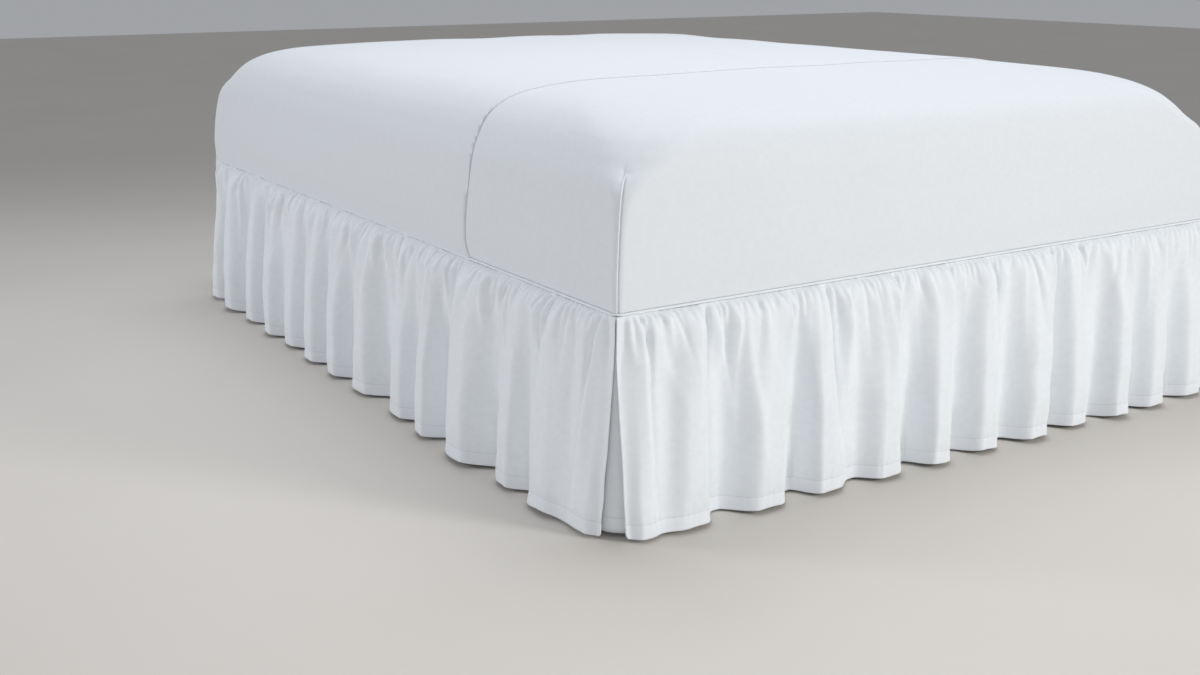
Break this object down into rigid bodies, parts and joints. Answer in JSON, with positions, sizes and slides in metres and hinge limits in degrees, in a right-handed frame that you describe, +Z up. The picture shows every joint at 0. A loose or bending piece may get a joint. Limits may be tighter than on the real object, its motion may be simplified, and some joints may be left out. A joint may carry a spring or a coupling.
{
  "type": "bed skirt on a bed base with mattress",
  "caption": "Gathered bed skirt with split corners and flat underlays, hanging almost to the floor from a piped seam round a plain box spring on legs, under a mattress.",
  "frame": {"origin": "on the floor, under the middle of the whole object's box", "axes": "+Z up, +Y from the foot of the bed to its open head end, +X to the right of someone who stands at the foot and looks to the head"},
  "size_m": [1.6756, 2.1098, 0.6993],
  "materials": {
    "skirt_cotton": "matte plain-weave cotton",
    "mattress_sheeting": "smooth cotton sheeting",
    "box_spring_ticking": "plain ticking",
    "leg_beech": "dark stained, satin"
  },
  "bodies": {
    "root": {"deck": "skirt_cotton", "piping": "skirt_cotton", "ruffle_left": "skirt_cotton", "ruffle_foot": "skirt_cotton", "ruffle_right": "skirt_cotton", "underlay_left": "skirt_cotton", "underlay_right": "skirt_cotton", "mattress": "mattress_sheeting", "box_spring": "box_spring_ticking", "leg_left_foot": "leg_beech", "leg_left_middle": "leg_beech", "leg_left_head": "leg_beech", "leg_right_foot": "leg_beech", "leg_right_middle": "leg_beech", "leg_right_head": "leg_beech"}
  },
  "joints": []
}
